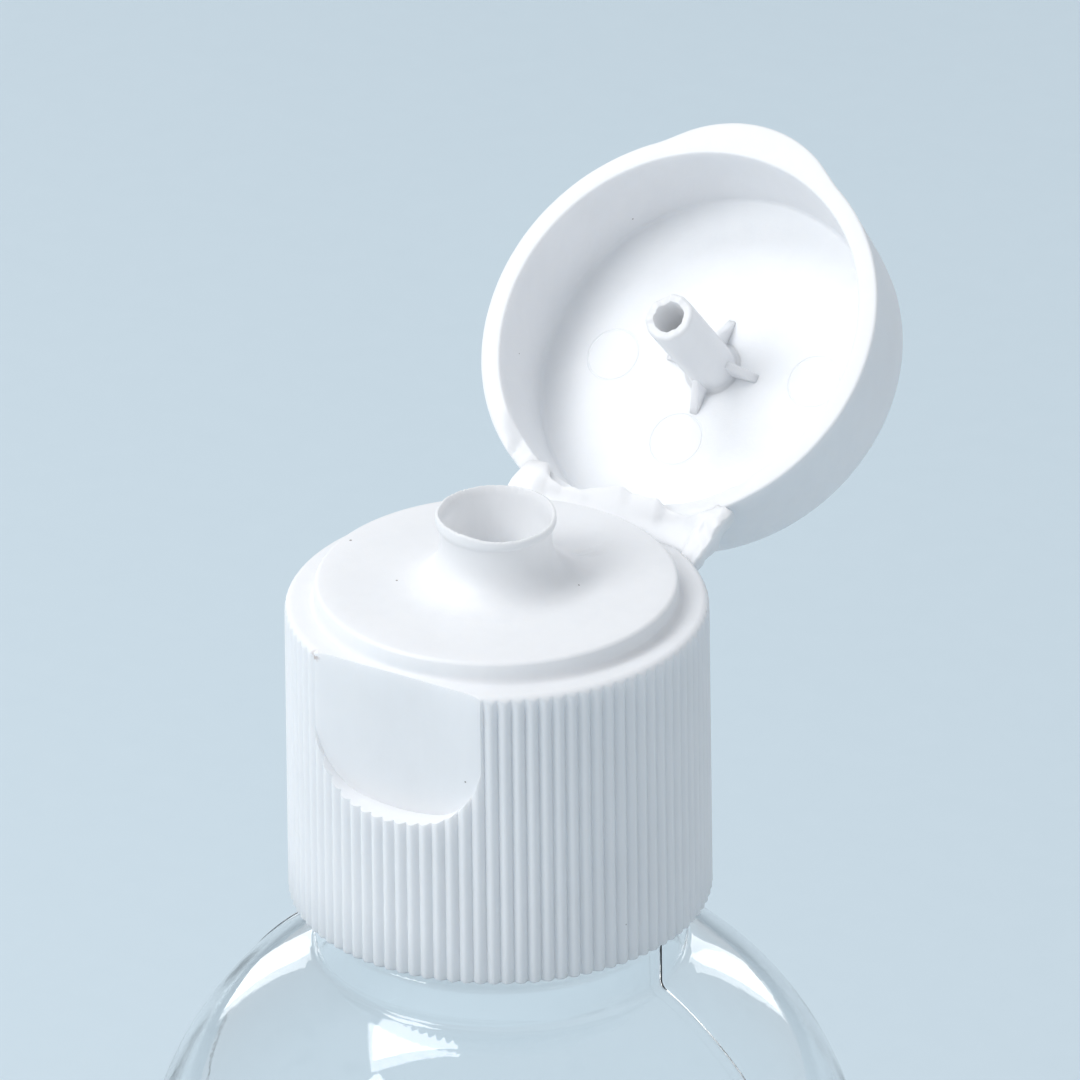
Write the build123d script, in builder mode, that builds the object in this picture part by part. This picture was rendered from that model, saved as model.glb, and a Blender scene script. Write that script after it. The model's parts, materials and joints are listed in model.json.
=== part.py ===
from build123d import *
from math import acos, cos, degrees, radians, sin, sqrt
import os

# Clear round-shouldered squeeze bottle with a screw-on flip-top closure, its lid standing open.
# Millimetres. Origin at the centre of the base, +Z up, hinge towards +Y, thumb recess towards -Y.
# The closure is one polypropylene moulding: its nodes are that moulding's working zones.

# ---- bottle ----
bottle_radius = 24.0
bottle_height = 98.0          # base to the land on top of the neck
bottle_wall = 0.7
base_wall = 1.2
base_corner_radius = 4.0
base_ring_width = 2.0         # flat ring that the bottle stands on
base_push_up = 2.2
dome_share = 0.75             # of the push-up, reached halfway in from the ring
shoulder_rise = 23.3          # vertical semi-axis of the shoulder's elliptical arc
shoulder_wall = 0.9
neck_length = 14.6            # land down to where the collar meets the shoulder's arc
neck_root_radius = 10.8
neck_wall = 1.2
neck_edge_chamfer = 0.3
collar_step = 1.3             # neck root out to the collar's wall
collar_length = 3.6
collar_wall = 1.0
collar_foot_fillet = 0.8
inner_lead = 0.5              # collar's bore out to where the inner shoulder's arc ends

# ---- screw thread, right hand, one start ----
thread_pitch = 3.175
thread_depth = 1.0
thread_embed = 0.25
neck_thread_turns = 1.5
neck_thread_foot_width = 1.9
neck_thread_crest_width = 1.0
neck_thread_top_gap = 1.5     # land to the top turn's centre line
cap_thread_turns = 1.25
cap_thread_foot_width = 1.3
cap_thread_crest_width = 0.6
thread_radial_gap = 0.4       # cap bore over the neck thread, and cap thread over the neck

# ---- cap body ----
cap_engagement = 10.4         # skirt foot to the neck's land
skirt_height = 20.7
skirt_wall = 1.15             # cap bore out to the foot of the ribs
skirt_edge_radius = 0.8
skirt_lead_in = 0.7
rib_count = 96
rib_depth = 0.3
rib_foot_width = 0.72
rib_crest_width = 0.3
rib_embed = 0.1
chamber_step = 1.0            # cap bore in to the chamber over the neck
chamber_step_drop = 0.3       # land down to that step
top_flange_thickness = 1.5
liner_thickness = 0.8
liner_gap = 0.05
liner_edge_gap = 0.2
seal_ring_inset = 0.4         # neck root in to the seal ring's outer wall
seal_ring_wall = 1.2

# ---- thumb recess ----
recess_depth = 1.65           # rib crests in to the flat floor
recess_half_width = 6.25
recess_bottom_height = 11.05  # above the skirt foot
recess_bottom_radius = 13.5
recess_corner_radius = 2.0

# ---- top disc and nozzle ----
ledge_width = 1.99            # rib crests in to the disc
disc_height = 1.44
disc_edge_radius = 0.2
nozzle_height = 6.22          # ledge to lip
nozzle_lip_radius = 3.87
nozzle_lip_step = 0.25        # lip in to the waist
nozzle_lip_height = 1.1
nozzle_lip_wall = 0.45
nozzle_flare_radius = 2.7
nozzle_floor_radius = 2.9
orifice_land = 0.2            # straight part of the orifice above the ledge
orifice_floor_drop = 1.0      # ledge down to the underside of the nozzle floor

# ---- lid ----
lid_open_angle = 137.5        # from closed to the pose modelled
lid_widest_angle = 150.0      # the furthest that the lid swings
lid_seat_gap = 0.15
lid_overhang = 0.09           # rib crests out to the lid's rim
lid_draft = 0.66              # rim in to the top edge
lid_rim_wall = 1.31
lid_top_wall = 1.18
lid_edge_radius = 1.2
lid_inner_draft = 0.35
lid_floor_fillet = 1.0
nozzle_lid_gap = 0.45         # nozzle lip to the lid's floor, lid shut
tab_overhang = 1.06           # lid's rim out to the tip of the thumb tab
tab_radius = 9.05
tab_height = 2.4
tab_taper = 12.0

# ---- sealing pin ----
pin_radius = 1.5
pin_wall = 0.5
pin_reach = 1.83              # past the lid's rim
pin_root = 1.35               # solid part under the pin's bore
pin_tip_chamfer = 0.25
pin_gap = 0.35                # pin to orifice
fin_thickness = 0.9
fin_count = 4
fin_gap = 0.1                 # 45 degree fins to the nozzle's mouth, lid shut

# ---- living hinge ----
hinge_axis_inset = 0.64       # lid's rim in to the hinge axis
hinge_axis_rise = 0.55        # ledge to hinge axis
hinge_half_width = 8.9
hinge_ear_width = 1.9
hinge_ear_drop = 1.3          # ledge down to the foot of each ear
hinge_ear_reach = 3.0         # hinge axis back to the tip of each ear
hinge_clearance = 0.3         # lid's outer wall to the bevel in the skirt, lid at its widest

cut_over = 1.0                # how far a cut runs past the face that it opens

# ---- places worked out from the sizes ----
land_z = bottle_height
base_ring_inner_radius = bottle_radius - base_corner_radius - base_ring_width
collar_radius = neck_root_radius + collar_step
collar_foot_z = land_z - neck_length
collar_top_z = collar_foot_z + collar_length
neck_bore_radius = neck_root_radius - neck_wall
collar_bore_radius = collar_radius - collar_wall
neck_thread_radius = neck_root_radius + thread_depth
neck_thread_z = land_z - neck_thread_top_gap - neck_thread_turns * thread_pitch

shoulder_angle = degrees(acos(collar_radius / bottle_radius))
shoulder_climb = shoulder_rise * sin(radians(shoulder_angle))
shoulder_z = collar_foot_z - shoulder_climb

cap_bore_radius = neck_thread_radius + thread_radial_gap
cap_thread_depth = cap_bore_radius - neck_root_radius - thread_radial_gap
cap_thread_z = neck_thread_z - thread_pitch / 2
rib_root_radius = cap_bore_radius + skirt_wall
skirt_rib_radius = rib_root_radius + rib_depth
skirt_z = land_z - cap_engagement
ledge_z = skirt_z + skirt_height
deck_z = ledge_z - top_flange_thickness
chamber_radius = cap_bore_radius - chamber_step
seat_z = land_z + liner_thickness + 2 * liner_gap
seal_ring_radius = neck_root_radius - seal_ring_inset
seal_ring_bore_radius = seal_ring_radius - seal_ring_wall

disc_radius = skirt_rib_radius - ledge_width
nozzle_waist_radius = nozzle_lip_radius - nozzle_lip_step
nozzle_foot_radius = nozzle_waist_radius + nozzle_flare_radius
nozzle_mouth_radius = nozzle_lip_radius - nozzle_lip_wall
orifice_radius = pin_radius + pin_gap

lid_rim_radius = skirt_rib_radius + lid_overhang
lid_top_radius = lid_rim_radius - lid_draft
lid_floor_depth = nozzle_height - lid_seat_gap + nozzle_lid_gap
lid_height = lid_floor_depth + lid_top_wall
tab_reach = lid_rim_radius + tab_overhang
pin_length = lid_floor_depth + pin_reach
pin_bore_radius = pin_radius - pin_wall
pin_bore_depth = pin_length - pin_root
fin_reach = nozzle_mouth_radius - fin_gap + nozzle_lid_gap
fin_height = fin_reach - pin_radius

hinge_axis_radius = lid_rim_radius - hinge_axis_inset
hinge_z = ledge_z + hinge_axis_rise
swing = radians(lid_open_angle)
rim_drop = ledge_z + lid_seat_gap - hinge_z
lid_plane = Plane(
    origin=(
        0,
        hinge_axis_radius - hinge_axis_radius * cos(swing) + rim_drop * sin(swing),
        hinge_z + hinge_axis_radius * sin(swing) + rim_drop * cos(swing),
    ),
    x_dir=(1, 0, 0),
    z_dir=(0, sin(swing), cos(swing)),
)
lid_section = Plane(lid_plane.origin, x_dir=lid_plane.x_dir, z_dir=-lid_plane.y_dir)
lid_axis = Axis(lid_plane.origin, lid_plane.z_dir)
lid_floor_plane = lid_plane.offset(lid_floor_depth)


def thread_ridge(foot_radius, depth, foot_width, crest_width, turns, start_z):
    """One helical ridge; a positive depth stands out from the axis, a negative one towards it."""
    foot = -thread_embed if depth > 0 else thread_embed
    with BuildPart() as ridge:
        with BuildLine() as path:
            Helix(thread_pitch, turns * thread_pitch, foot_radius, center=(0, 0, start_z))
        start = Plane(path.line @ 0, x_dir=(1, 0, 0), z_dir=path.line % 0)
        with BuildSketch(start):
            with BuildLine():
                Polyline(
                    (foot, -foot_width / 2),
                    (depth, -crest_width / 2),
                    (depth, crest_width / 2),
                    (foot, foot_width / 2),
                    close=True,
                )
            make_face()
        sweep(path=path.line, is_frenet=True)
    return ridge.part


neck_thread = thread_ridge(neck_root_radius, thread_depth, neck_thread_foot_width,
                           neck_thread_crest_width, neck_thread_turns, neck_thread_z)
cap_thread = thread_ridge(cap_bore_radius, -cap_thread_depth, cap_thread_foot_width,
                          cap_thread_crest_width, cap_thread_turns, cap_thread_z)

# ---- bottle: one blown piece, neck, collar, shoulder, body and pushed-up base ----
with BuildPart() as bottle:
    with BuildSketch(Plane.XZ):
        with BuildLine():
            push = ThreePointArc(
                (0, base_push_up),
                (base_ring_inner_radius / 2, base_push_up * dome_share),
                (base_ring_inner_radius, 0),
            )
            ring = Line(push @ 1, (bottle_radius - base_corner_radius, 0))
            corner = TangentArc(ring @ 1, (bottle_radius, base_corner_radius), tangent=(1, 0))
            side = Line(corner @ 1, (bottle_radius, shoulder_z))
            shoulder = EllipticalCenterArc(
                (0, shoulder_z), bottle_radius, shoulder_rise, arc_size=shoulder_angle
            )
            Polyline(
                shoulder @ 1,
                (collar_radius, collar_top_z),
                (neck_root_radius, collar_top_z + collar_step),
                (neck_root_radius, land_z - neck_edge_chamfer),
                (neck_root_radius - neck_edge_chamfer, land_z),
                (0, land_z),
                (0, base_push_up),
            )
        make_face()
    revolve(axis=Axis.Z)
    foot_edge = edges().filter_by(GeomType.CIRCLE).sort_by(
        lambda e: abs(e.center().Z - collar_foot_z) + abs(e.radius - collar_radius)
    )[0]
    fillet(foot_edge, collar_foot_fillet)
    with BuildSketch(Plane.XZ):
        with BuildLine():
            floor = ThreePointArc(
                (0, base_push_up + base_wall),
                (base_ring_inner_radius / 2, base_push_up * dome_share + base_wall),
                (base_ring_inner_radius, base_wall),
            )
            inner_radius = bottle_radius - bottle_wall
            corner_radius = base_corner_radius - bottle_wall
            inner_ring = Line(floor @ 1, (inner_radius - corner_radius, base_wall))
            inner_corner = TangentArc(
                inner_ring @ 1, (inner_radius, base_wall + corner_radius), tangent=(1, 0)
            )
            inner_side = Line(inner_corner @ 1, (inner_radius, shoulder_z))
            inner_rise = shoulder_rise - shoulder_wall
            inner_end = collar_bore_radius + inner_lead
            inner_angle = degrees(acos(inner_end / inner_radius))
            inner_shoulder = EllipticalCenterArc(
                (0, shoulder_z), inner_radius, inner_rise, arc_size=inner_angle
            )
            Polyline(
                inner_shoulder @ 1,
                (collar_bore_radius, collar_foot_z + collar_foot_fillet),
                (collar_bore_radius, collar_top_z - collar_wall),
                (neck_bore_radius, collar_top_z - collar_wall + collar_bore_radius - neck_bore_radius),
                (neck_bore_radius, land_z + cut_over),
                (0, land_z + cut_over),
                (0, base_push_up + base_wall),
            )
        make_face()
    revolve(axis=Axis.Z, mode=Mode.SUBTRACT)
    add(neck_thread)
bottle.part.label = "bottle"

# ---- sealing liner: soft washer between the neck's land and the cap ----
with BuildPart() as sealing_liner:
    with BuildSketch(Plane.XY.offset(land_z + liner_gap)):
        Circle(chamber_radius - liner_edge_gap)
        Circle(seal_ring_bore_radius, mode=Mode.SUBTRACT)
    extrude(amount=liner_thickness)
sealing_liner.part.label = "sealing_liner"

# ---- cap skirt: ribbed wall, thread, top flange with the ledge, thumb recess ----
with BuildPart() as cap_skirt:
    with BuildSketch(Plane.XY.offset(skirt_z)):
        Circle(rib_root_radius)
        rib_reach = rib_depth + rib_embed
        with PolarLocations(rib_root_radius + rib_depth - rib_reach / 2, rib_count):
            with BuildLine(mode=Mode.PRIVATE) as rib:
                Polyline(
                    (-rib_reach / 2, -rib_foot_width / 2),
                    (rib_reach / 2, -rib_crest_width / 2),
                    (rib_reach / 2, rib_crest_width / 2),
                    (-rib_reach / 2, rib_foot_width / 2),
                    close=True,
                )
            add(make_face(rib.line, mode=Mode.PRIVATE))
    extrude(amount=skirt_height)
    with BuildSketch(Plane.XZ):
        with Locations((0, skirt_z)):
            Rectangle(skirt_rib_radius, skirt_height, align=(Align.MIN, Align.MIN))
        rounded = vertices().group_by(Axis.Y)[-1].sort_by(Axis.X)[-1]
        fillet(rounded, skirt_edge_radius)
    revolve(axis=Axis.Z, mode=Mode.INTERSECT)
    with BuildSketch(Plane.XZ):
        with BuildLine():
            Polyline(
                (0, skirt_z),
                (cap_bore_radius + skirt_lead_in, skirt_z),
                (cap_bore_radius, skirt_z + skirt_lead_in),
                (cap_bore_radius, land_z - chamber_step_drop),
                (chamber_radius, land_z - chamber_step_drop),
                (chamber_radius, deck_z),
                (seal_ring_radius, deck_z),
                (seal_ring_radius, ledge_z),
                (0, ledge_z),
                close=True,
            )
        make_face()
    revolve(axis=Axis.Z, mode=Mode.SUBTRACT)
    with BuildSketch(Plane.XZ.offset(skirt_rib_radius - recess_depth)):
        recess_low = skirt_z + recess_bottom_height
        bottom_sag = recess_bottom_radius - sqrt(recess_bottom_radius**2 - recess_half_width**2)
        with BuildLine():
            ThreePointArc(
                (-recess_half_width, recess_low + bottom_sag),
                (0, recess_low),
                (recess_half_width, recess_low + bottom_sag),
            )
            Polyline(
                (recess_half_width, recess_low + bottom_sag),
                (recess_half_width, ledge_z + cut_over),
                (-recess_half_width, ledge_z + cut_over),
                (-recess_half_width, recess_low + bottom_sag),
            )
        make_face()
        fillet(vertices().group_by(Axis.Y)[0], recess_corner_radius)
    extrude(amount=skirt_rib_radius, mode=Mode.SUBTRACT)
    with BuildSketch(Plane.YZ.offset(-hinge_half_width)):
        reach = skirt_rib_radius
        bevel = radians(lid_widest_angle)
        wall_back = lid_rim_radius - hinge_axis_radius + hinge_clearance
        foot_y = hinge_axis_radius + wall_back * cos(bevel)
        foot_z = hinge_z - wall_back * sin(bevel)
        with BuildLine():
            Polyline(
                (foot_y - reach * sin(bevel), foot_z - reach * cos(bevel)),
                (foot_y + reach * sin(bevel), foot_z + reach * cos(bevel)),
                (foot_y + 2 * reach, foot_z - reach * cos(bevel)),
                close=True,
            )
        make_face()
    extrude(amount=2 * hinge_half_width, mode=Mode.SUBTRACT)
    add(cap_thread)
cap_skirt.part.label = "cap_skirt"

# ---- seal ring: tube under the top that presses the liner on the neck ----
with BuildPart() as seal_ring:
    with BuildSketch(Plane.XY.offset(seat_z)):
        Circle(seal_ring_radius)
        Circle(seal_ring_bore_radius, mode=Mode.SUBTRACT)
    extrude(amount=ledge_z - seat_z)
seal_ring.part.label = "seal_ring"

# ---- top disc: raised plate around the nozzle ----
with BuildPart() as top_disc:
    with BuildSketch(Plane.XY.offset(ledge_z)):
        Circle(disc_radius)
        Circle(nozzle_foot_radius, mode=Mode.SUBTRACT)
    extrude(amount=disc_height)
    fillet(edges().group_by(Axis.Z)[-1].sort_by(SortBy.RADIUS)[-1], disc_edge_radius)
top_disc.part.label = "top_disc"

# ---- nozzle: flared spout with a small orifice that the pin plugs ----
with BuildPart() as nozzle:
    with BuildSketch(Plane.XZ):
        disc_top = ledge_z + disc_height
        lip_z = ledge_z + nozzle_height
        floor_under = ledge_z - orifice_floor_drop
        with BuildLine():
            flare = RadiusArc(
                (nozzle_foot_radius, disc_top),
                (nozzle_waist_radius, disc_top + nozzle_flare_radius),
                nozzle_flare_radius,
            )
            Polyline(
                flare @ 1,
                (nozzle_waist_radius, lip_z - nozzle_lip_height),
                (nozzle_lip_radius, lip_z - nozzle_lip_height / 3),
                (nozzle_lip_radius, lip_z),
                (nozzle_mouth_radius, lip_z),
                (nozzle_floor_radius, disc_top),
                (orifice_radius, ledge_z + orifice_land),
                (orifice_radius, floor_under),
                (nozzle_foot_radius - 2 * orifice_floor_drop, floor_under),
                (nozzle_foot_radius, ledge_z),
                (nozzle_foot_radius, disc_top),
            )
        make_face()
    revolve(axis=Axis.Z)
nozzle.part.label = "nozzle"

# ---- lid block: outside of the lid with its thumb tab, drawn on the opened plane ----
with BuildPart() as lid_block:
    with BuildSketch(lid_section):
        with BuildLine():
            Polyline(
                (0, 0),
                (lid_rim_radius, 0),
                (lid_top_radius, lid_height),
                (0, lid_height),
                close=True,
            )
        make_face()
        fillet(vertices().group_by(Axis.Y)[-1].sort_by(Axis.X)[-1], lid_edge_radius)
    revolve(axis=lid_axis)
    with BuildSketch(lid_plane):
        with Locations((0, -(tab_reach - tab_radius))):
            Circle(tab_radius)
    extrude(amount=tab_height, taper=tab_taper)

# ---- lid shell: the block hollowed into a cup ----
with BuildPart() as lid_shell:
    add(lid_block.part)
    with BuildSketch(lid_section):
        rim_inner = lid_rim_radius - lid_rim_wall
        with BuildLine():
            Polyline(
                (0, 0),
                (rim_inner, 0),
                (rim_inner - lid_inner_draft, lid_floor_depth),
                (0, lid_floor_depth),
                close=True,
            )
        make_face()
        fillet(vertices().group_by(Axis.Y)[-1].sort_by(Axis.X)[-1], lid_floor_fillet)
    revolve(axis=lid_axis, mode=Mode.SUBTRACT)
lid_shell.part.label = "lid_shell"

# ---- sealing pin: hollow peg with four gusset fins, on the lid's floor ----
with BuildPart() as sealing_pin:
    with BuildSketch(lid_section):
        with BuildLine():
            Polyline(
                (0, lid_floor_depth),
                (fin_reach, lid_floor_depth),
                (pin_radius, lid_floor_depth - fin_height),
                (0, lid_floor_depth - fin_height),
                close=True,
            )
        make_face()
    revolve(axis=lid_axis)
    with BuildSketch(lid_floor_plane):
        with PolarLocations(fin_reach / 2, fin_count):
            Rectangle(fin_reach, fin_thickness)
    extrude(amount=-fin_height, mode=Mode.INTERSECT)
    with BuildSketch(lid_floor_plane):
        Circle(pin_radius)
    extrude(amount=-pin_length)
    chamfer(faces().sort_by(lid_axis)[0].edges(), pin_tip_chamfer)
    with BuildSketch(lid_floor_plane.offset(-pin_length)):
        Circle(pin_bore_radius)
    extrude(amount=pin_bore_depth, mode=Mode.SUBTRACT)
sealing_pin.part.label = "sealing_pin"

# ---- living hinge: thin web between two thick ears, filling the gap from skirt to lid ----


def hinge_strip(low_x, high_x, outline):
    """A strip of the hinge between two x places; its outline is measured from the ledge at the axis."""
    with BuildPart() as strip:
        with BuildSketch(Plane.YZ.offset(low_x)):
            with BuildLine():
                Polyline(*[(hinge_axis_radius + y, ledge_z + z) for y, z in outline], close=True)
            make_face()
        extrude(amount=high_x - low_x)
        add(cap_skirt.part, mode=Mode.SUBTRACT)
        add(lid_block.part, mode=Mode.SUBTRACT)
    return strip


web_half_width = hinge_half_width - hinge_ear_width
skirt_back = hinge_axis_radius - sqrt(rib_root_radius**2 - hinge_half_width**2)
web_outline = [
    (-1.3, 0),
    (-0.6, -0.4),
    (0.25, -1.9),
    (1.2, -1.75),
    (-0.84, 0.53),
    (-0.5, 0.85),
    (-1.0, 0.6),
]
ear_outline = [
    (-skirt_back, -hinge_ear_drop),
    (-0.6, -hinge_ear_drop),
    (0.9, -0.8),
    (2.0, -0.05),
    (hinge_ear_reach, 0.8),
    (1.3, 1.9),
    (-0.5, 1.3),
    (-1.5, 0.5),
    (-skirt_back, 0),
]
hinge_web = hinge_strip(-web_half_width, web_half_width, web_outline)
hinge_web.part.label = "hinge_web"
hinge_ear_left = hinge_strip(-hinge_half_width, -web_half_width, ear_outline)
hinge_ear_left.part.label = "hinge_ear_left"
hinge_ear_right = hinge_strip(web_half_width, hinge_half_width, ear_outline)
hinge_ear_right.part.label = "hinge_ear_right"

pieces = [
    bottle,
    sealing_liner,
    cap_skirt,
    seal_ring,
    top_disc,
    nozzle,
    hinge_web,
    hinge_ear_left,
    hinge_ear_right,
    lid_shell,
    sealing_pin,
]
os.makedirs("parts", exist_ok=True)
for piece in pieces:
    export_step(piece.part, f"parts/{piece.part.label}.step")
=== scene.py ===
import json
from math import atan2, cos, degrees, hypot, pi, radians, sin, sqrt, tan

import bmesh
import bpy
from mathutils import Matrix, Vector, noise


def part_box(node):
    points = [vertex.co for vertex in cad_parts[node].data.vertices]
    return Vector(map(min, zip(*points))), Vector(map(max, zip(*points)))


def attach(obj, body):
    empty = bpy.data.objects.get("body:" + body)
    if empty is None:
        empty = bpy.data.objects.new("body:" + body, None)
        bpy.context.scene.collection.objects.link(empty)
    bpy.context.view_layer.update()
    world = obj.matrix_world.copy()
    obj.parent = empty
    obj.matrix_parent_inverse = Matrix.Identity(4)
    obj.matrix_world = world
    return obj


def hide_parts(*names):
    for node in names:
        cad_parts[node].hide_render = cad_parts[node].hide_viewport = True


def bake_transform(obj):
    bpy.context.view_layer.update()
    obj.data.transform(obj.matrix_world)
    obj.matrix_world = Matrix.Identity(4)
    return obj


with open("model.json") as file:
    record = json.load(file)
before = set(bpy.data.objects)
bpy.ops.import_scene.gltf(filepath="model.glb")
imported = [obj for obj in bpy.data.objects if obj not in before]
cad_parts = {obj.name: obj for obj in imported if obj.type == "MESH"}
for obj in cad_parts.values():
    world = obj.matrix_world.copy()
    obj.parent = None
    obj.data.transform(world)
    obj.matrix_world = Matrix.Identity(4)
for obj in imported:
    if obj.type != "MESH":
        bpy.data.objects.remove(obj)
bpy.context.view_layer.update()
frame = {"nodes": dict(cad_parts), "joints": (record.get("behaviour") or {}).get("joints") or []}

# A small clear squeeze bottle with a white ribbed flip-top closure, lid open.
# Metres. The bottle stands on z = 0, the hinge is towards +Y and the thumb recess towards -Y.

MM = 0.001

# ---- places taken from the frame ----
bottle_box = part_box("bottle")
skirt_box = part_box("cap_skirt")
disc_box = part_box("top_disc")
nozzle_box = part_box("nozzle")
ring_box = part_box("seal_ring")
bottle_radius = bottle_box[1].x
land = bottle_box[1].z
foot = skirt_box[0].z
ledge = skirt_box[1].z
disc_radius = disc_box[1].x
disc_top = disc_box[1].z
lip = nozzle_box[1].z
nozzle_under = nozzle_box[0].z
nozzle_foot = nozzle_box[1].x
ring_radius = ring_box[1].x
ring_foot = ring_box[0].z
lid_joint = next(joint for joint in frame["joints"] if joint["name"] == "lid_hinge")
hinge_y, hinge_z = lid_joint["pos_m"][1:]

# ---- closure, as moulded ----
RIBS = 96
RIB_STEPS = 8                          # points round one rib
rib_depth = 0.35 * MM
rib_radius = 13.72 * MM                # rib crests at the skirt's foot
skirt_draft = 0.14 * MM                # narrower at the ledge
ledge_round = 0.55 * MM
cap_bore = 12.2 * MM
chamber = 11.2 * MM
bore_step_drop = 0.3 * MM              # neck's land down to the step in the bore
lead_in = 0.7 * MM
deck_drop = 1.5 * MM                   # ledge down to the underside of the top
disc_fillet = 0.45 * MM
disc_edge = 0.35 * MM
lip_radius = 3.87 * MM
waist_radius = 3.6 * MM
mouth_radius = 3.62 * MM
funnel_radius = 2.9 * MM
orifice_radius = 1.85 * MM
ring_wall = 1.2 * MM

# ---- thumb recess ----
recess_flat = 12.0 * MM                # axis to the flat
recess_half_width = 6.25 * MM
recess_height = 11.05 * MM             # above the skirt's foot
recess_arc = 13.5 * MM
recess_corner = 3.3 * MM

# ---- lid ----
lid_swing = radians(137.5)             # from shut to where it stands
lid_widest = radians(150.0)
lid_seat = ledge + 0.15 * MM
lid_rim = 13.74 * MM
lid_top = 13.08 * MM
lid_height = 7.7 * MM
lid_edge = 1.2 * MM
lid_wall = 1.31 * MM
lid_floor = 6.52 * MM
floor_fillet = 0.35 * MM
tab_reach = 14.8 * MM
tab_radius = 9.05 * MM
tab_height = 2.4 * MM
tab_lean = tan(radians(12))
pin_radius = 1.62 * MM
pin_bore = 1.0 * MM
pin_length = 8.35 * MM
fin_reach = 3.65 * MM
fin_height = 1.5 * MM
fin_width = 0.65 * MM
mark_radius = 1.8 * MM                 # round marks that the ejector pins leave
MARK_PLACES = ((-7.2, 0.9), (-0.4, 5.4), (7.35, -0.8))
LID_COLUMNS = 288
PEG_COLUMNS = 64
hinge_half_width = 8.9 * MM
HINGE_LEFT, FILM_LEFT = -7.1 * MM, -4.6 * MM
HINGE_RIGHT, FILM_RIGHT = 9.1 * MM, 7.2 * MM
EAR_LEAN = 0.35                        # how far the right end leans outwards as it rises
TORN_EDGE = [                          # across the hinge, and height above the ledge, mm
    (-7.1, 1.0), (-6.3, 1.9), (-4.8, 2.0), (-3.2, 1.4), (-1.8, 1.6), (0.6, 2.4), (1.3, 2.6),
    (2.1, 2.2), (4.0, 2.3), (4.5, 1.9), (5.6, 1.7), (7.9, 2.1), (8.6, 2.3), (9.1, 2.0),
]

# ---- bottle ----
shoulder_rise = 23.3 * MM
collar_radius = 12.1 * MM
collar_foot = land - 14.6 * MM
collar_top = collar_foot + 3.6 * MM
foot_fillet = 0.8 * MM
neck_radius = 10.8 * MM
neck_bore = 9.6 * MM
collar_bore = 11.1 * MM
wall = 0.7 * MM
seam_height = 0.08 * MM
base_corner = 4.0 * MM
base_ring = 18.0 * MM                  # axis to the inner edge of the ring that it stands on
base_push = 2.2 * MM                   # how far the middle of the base is pushed up
SHELL_COLUMNS = 256
base_wall = 1.2 * MM
thread_pitch = 3.175 * MM


# ================================================================ tools for shaping

def nothing_selected():
    if bpy.context.object and bpy.context.object.mode != "OBJECT":
        bpy.ops.object.mode_set(mode="OBJECT")
    bpy.ops.object.select_all(action="DESELECT")


def only(piece):
    nothing_selected()
    piece.select_set(True)
    bpy.context.view_layer.objects.active = piece


def apply_modifier(piece, kind, **settings):
    only(piece)
    modifier = piece.modifiers.new(kind.lower(), kind)
    for key, value in settings.items():
        setattr(modifier, key, value)
    bpy.ops.object.modifier_apply(modifier=modifier.name)


def settle(piece, crease=35):
    """Applies the object's place to its mesh and shades it smooth, apart from sharp edges."""
    only(piece)
    bpy.ops.object.transform_apply(location=True, rotation=True, scale=True)
    bpy.ops.object.shade_smooth_by_angle(angle=radians(crease))


def tidy_mesh(piece, merge=1e-6):
    only(piece)
    bpy.ops.object.mode_set(mode="EDIT")
    bpy.ops.mesh.select_all(action="SELECT")
    bpy.ops.mesh.remove_doubles(threshold=merge)
    bpy.ops.mesh.normals_make_consistent(inside=False)
    bpy.ops.object.mode_set(mode="OBJECT")


def move_points(piece, place):
    """Moves each vertex to what place(point) returns."""
    for vertex in piece.data.vertices:
        vertex.co = place(vertex.co)
    piece.data.update()


def cut(piece, cutter, operation="DIFFERENCE"):
    apply_modifier(piece, "BOOLEAN", object=cutter, operation=operation, solver="EXACT")
    bpy.data.objects.remove(cutter)


def arc(centre, radius, start, end, steps):
    """Points along an arc in the (radius, height) plane, angles in degrees; the first is left out."""
    turns = [radians(start + (end - start) * step / steps) for step in range(1, steps + 1)]
    return [(centre[0] + radius * cos(a), centre[1] + radius * sin(a)) for a in turns]


def smooth_step(low, high, value):
    share = min(max((value - low) / (high - low), 0), 1)
    return share * share * (3 - 2 * share)


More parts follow.
